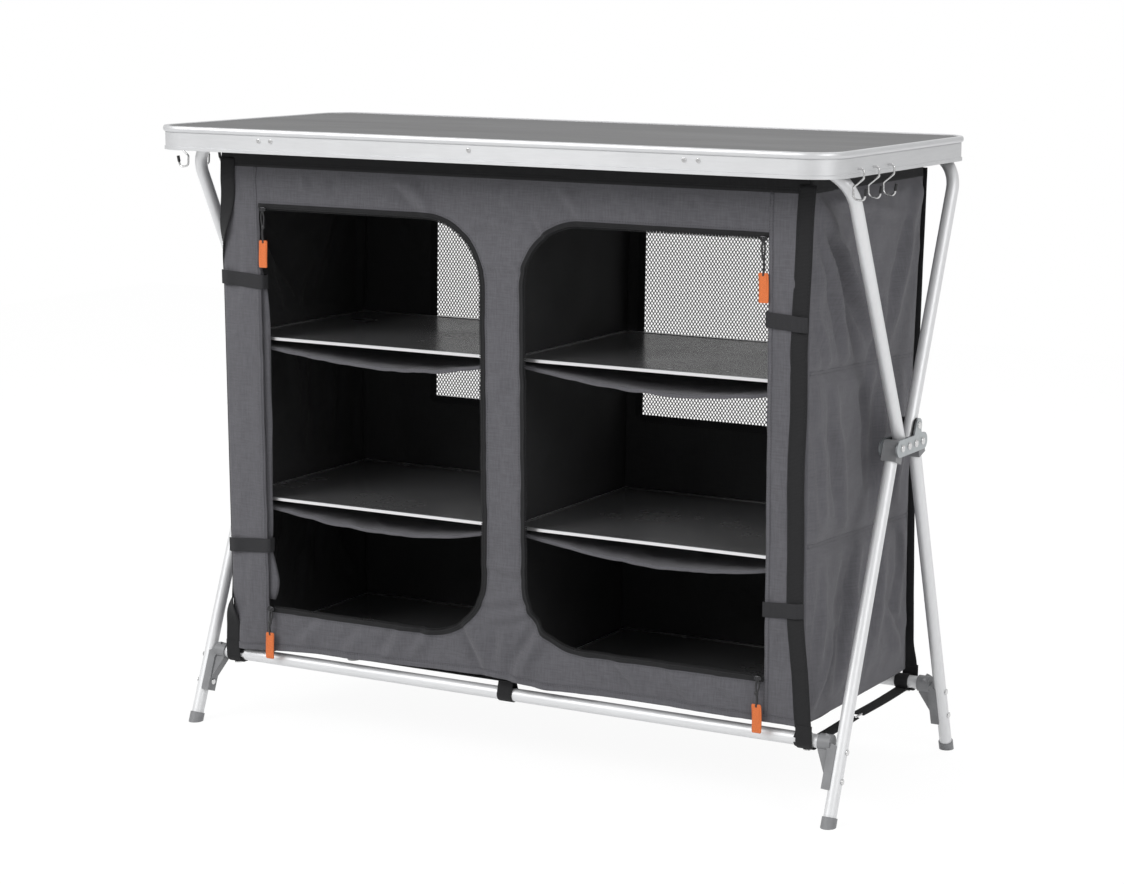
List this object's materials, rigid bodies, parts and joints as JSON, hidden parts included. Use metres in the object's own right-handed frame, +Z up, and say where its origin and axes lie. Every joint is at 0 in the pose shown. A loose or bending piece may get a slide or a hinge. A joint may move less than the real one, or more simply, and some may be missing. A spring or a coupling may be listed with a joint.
{
  "type": "camping cupboard",
  "caption": "Folding camp cupboard: grey cloth body with rolled-up doors and shelves, hung from bent tube frames with folding legs, under a railed worktop with side hooks.",
  "frame": {"origin": "on the floor, under the middle of the tabletop", "axes": "+X to the right along the front, +Y to the rear, +Z up"},
  "size_m": [1.1758, 0.5, 0.95],
  "materials": {
    "cloth": "woven polyester with a matt coat",
    "webbing": "ribbed black webbing",
    "mesh": "fine net",
    "tube": "satin anodised",
    "rail": "satin anodised",
    "worktop": "fine-grained laminate",
    "black_plastic": "fine-grained",
    "plate": "zinc plated",
    "steel": "zinc plated",
    "grey_plastic": "moulded",
    "hook_wire": "bent wire with a black sleeve",
    "board": "fibreboard in a pale edge frame",
    "pull": "woven tab on a cord, metal slider"
  },
  "bodies": {
    "upper_frame": {"front_upper_tube": "tube", "rear_upper_tube": "tube", "joint_plates_left": "plate", "joint_plates_right": "plate", "joint_liners": "black_plastic", "joint_rivets": "steel", "front_panel": "cloth", "back_panel": "cloth", "side_panel_left": "cloth", "side_panel_right": "cloth", "floor_cloth": "cloth", "centre_divider": "cloth", "shelf_cloths": "cloth", "mesh_windows": "mesh", "top_band": "webbing", "door_roll_left": "cloth", "door_roll_right": "cloth", "door_roll_straps": "webbing", "zip_tapes": "webbing", "corner_webbing": "webbing"},
    "tabletop": {"table_panel": "worktop", "table_rim": "rail", "table_braces": "rail", "table_clips": "black_plastic", "rim_rivets": "steel"},
    "lower_front_frame": {"front_leg_left": "tube", "front_leg_right": "tube", "front_crossbar": "tube", "front_elbows": "grey_plastic", "front_feet": "grey_plastic", "front_rivets": "steel", "front_leg_blocks": "grey_plastic", "front_bar_straps": "webbing", "floor_strap_front": "webbing", "floor_strap_hooks": "steel"},
    "lower_rear_frame": {"rear_leg_left": "tube", "rear_leg_right": "tube", "rear_crossbar": "tube", "rear_elbows": "grey_plastic", "rear_feet": "grey_plastic", "rear_rivets": "steel", "rear_leg_blocks": "grey_plastic", "rear_bar_straps": "webbing", "floor_strap_rear": "webbing"},
    "hook_left_front": {"hook_left_front": "hook_wire"},
    "hook_left_middle": {"hook_left_middle": "hook_wire"},
    "hook_left_rear": {"hook_left_rear": "hook_wire"},
    "hook_right_front": {"hook_right_front": "hook_wire"},
    "hook_right_middle": {"hook_right_middle": "hook_wire"},
    "hook_right_rear": {"hook_right_rear": "hook_wire"},
    "board_upper_left": {"board_upper_left": "board"},
    "board_upper_right": {"board_upper_right": "board"},
    "board_lower_left": {"board_lower_left": "board"},
    "board_lower_right": {"board_lower_right": "board"},
    "board_floor_left": {"board_floor_left": "board"},
    "board_floor_right": {"board_floor_right": "board"},
    "zip_slider_upper_left": {"zip_slider_upper_left": "pull"},
    "zip_slider_upper_right": {"zip_slider_upper_right": "pull"},
    "zip_slider_lower_left": {"zip_slider_lower_left": "pull"},
    "zip_slider_lower_right": {"zip_slider_lower_right": "pull"}
  },
  "joints": [
    {"name": "tabletop_lift", "type": "slide", "parent": "upper_frame", "child": "tabletop", "axis": [0, 0, 1], "range_m": [0, 0.12]},
    {"name": "lower_front_fold", "type": "hinge", "parent": "upper_frame", "child": "lower_front_frame", "pos_m": [0, 0.0041, 0.513], "axis": [-1, 0, 0], "range_deg": [0, 122], "deforming": ["floor_strap_front", "floor_strap_hooks"]},
    {"name": "lower_rear_fold", "type": "hinge", "parent": "upper_frame", "child": "lower_rear_frame", "pos_m": [0, 0.0779, 0.513], "axis": [1, 0, 0], "range_deg": [0, 134], "deforming": ["floor_strap_rear"]},
    {"name": "hook_left_front_swing", "type": "hinge", "parent": "tabletop", "child": "hook_left_front", "pos_m": [-0.57, -0.167, 0.925], "axis": [1, 0, 0], "range_deg": [-25, 25]},
    {"name": "hook_left_middle_swing", "type": "hinge", "parent": "tabletop", "child": "hook_left_middle", "pos_m": [-0.57, -0.116, 0.925], "axis": [1, 0, 0], "range_deg": [-25, 25]},
    {"name": "hook_left_rear_swing", "type": "hinge", "parent": "tabletop", "child": "hook_left_rear", "pos_m": [-0.57, -0.065, 0.925], "axis": [1, 0, 0], "range_deg": [-25, 25]},
    {"name": "hook_right_front_swing", "type": "hinge", "parent": "tabletop", "child": "hook_right_front", "pos_m": [0.57, -0.167, 0.925], "axis": [1, 0, 0], "range_deg": [-25, 25]},
    {"name": "hook_right_middle_swing", "type": "hinge", "parent": "tabletop", "child": "hook_right_middle", "pos_m": [0.57, -0.116, 0.925], "axis": [1, 0, 0], "range_deg": [-25, 25]},
    {"name": "hook_right_rear_swing", "type": "hinge", "parent": "tabletop", "child": "hook_right_rear", "pos_m": [0.57, -0.065, 0.925], "axis": [1, 0, 0], "range_deg": [-25, 25]},
    {"name": "board_upper_left_lift", "type": "slide", "parent": "upper_frame", "child": "board_upper_left", "axis": [0, 0, 1], "range_m": [0, 0.08]},
    {"name": "board_upper_right_lift", "type": "slide", "parent": "upper_frame", "child": "board_upper_right", "axis": [0, 0, 1], "range_m": [0, 0.08]},
    {"name": "board_lower_left_lift", "type": "slide", "parent": "upper_frame", "child": "board_lower_left", "axis": [0, 0, 1], "range_m": [0, 0.08]},
    {"name": "board_lower_right_lift", "type": "slide", "parent": "upper_frame", "child": "board_lower_right", "axis": [0, 0, 1], "range_m": [0, 0.08]},
    {"name": "board_floor_left_lift", "type": "slide", "parent": "upper_frame", "child": "board_floor_left", "axis": [0, 0, 1], "range_m": [0, 0.08]},
    {"name": "board_floor_right_lift", "type": "slide", "parent": "upper_frame", "child": "board_floor_right", "axis": [0, 0, 1], "range_m": [0, 0.08]},
    {"name": "zip_slider_upper_left_travel", "type": "slide", "parent": "upper_frame", "child": "zip_slider_upper_left", "axis": [1, 0, 0], "range_m": [0, 0.28]},
    {"name": "zip_slider_upper_right_travel", "type": "slide", "parent": "upper_frame", "child": "zip_slider_upper_right", "axis": [-1, 0, 0], "range_m": [0, 0.28]},
    {"name": "zip_slider_lower_left_travel", "type": "slide", "parent": "upper_frame", "child": "zip_slider_lower_left", "axis": [1, 0, 0], "range_m": [0, 0.28]},
    {"name": "zip_slider_lower_right_travel", "type": "slide", "parent": "upper_frame", "child": "zip_slider_lower_right", "axis": [-1, 0, 0], "range_m": [0, 0.28]}
  ]
}
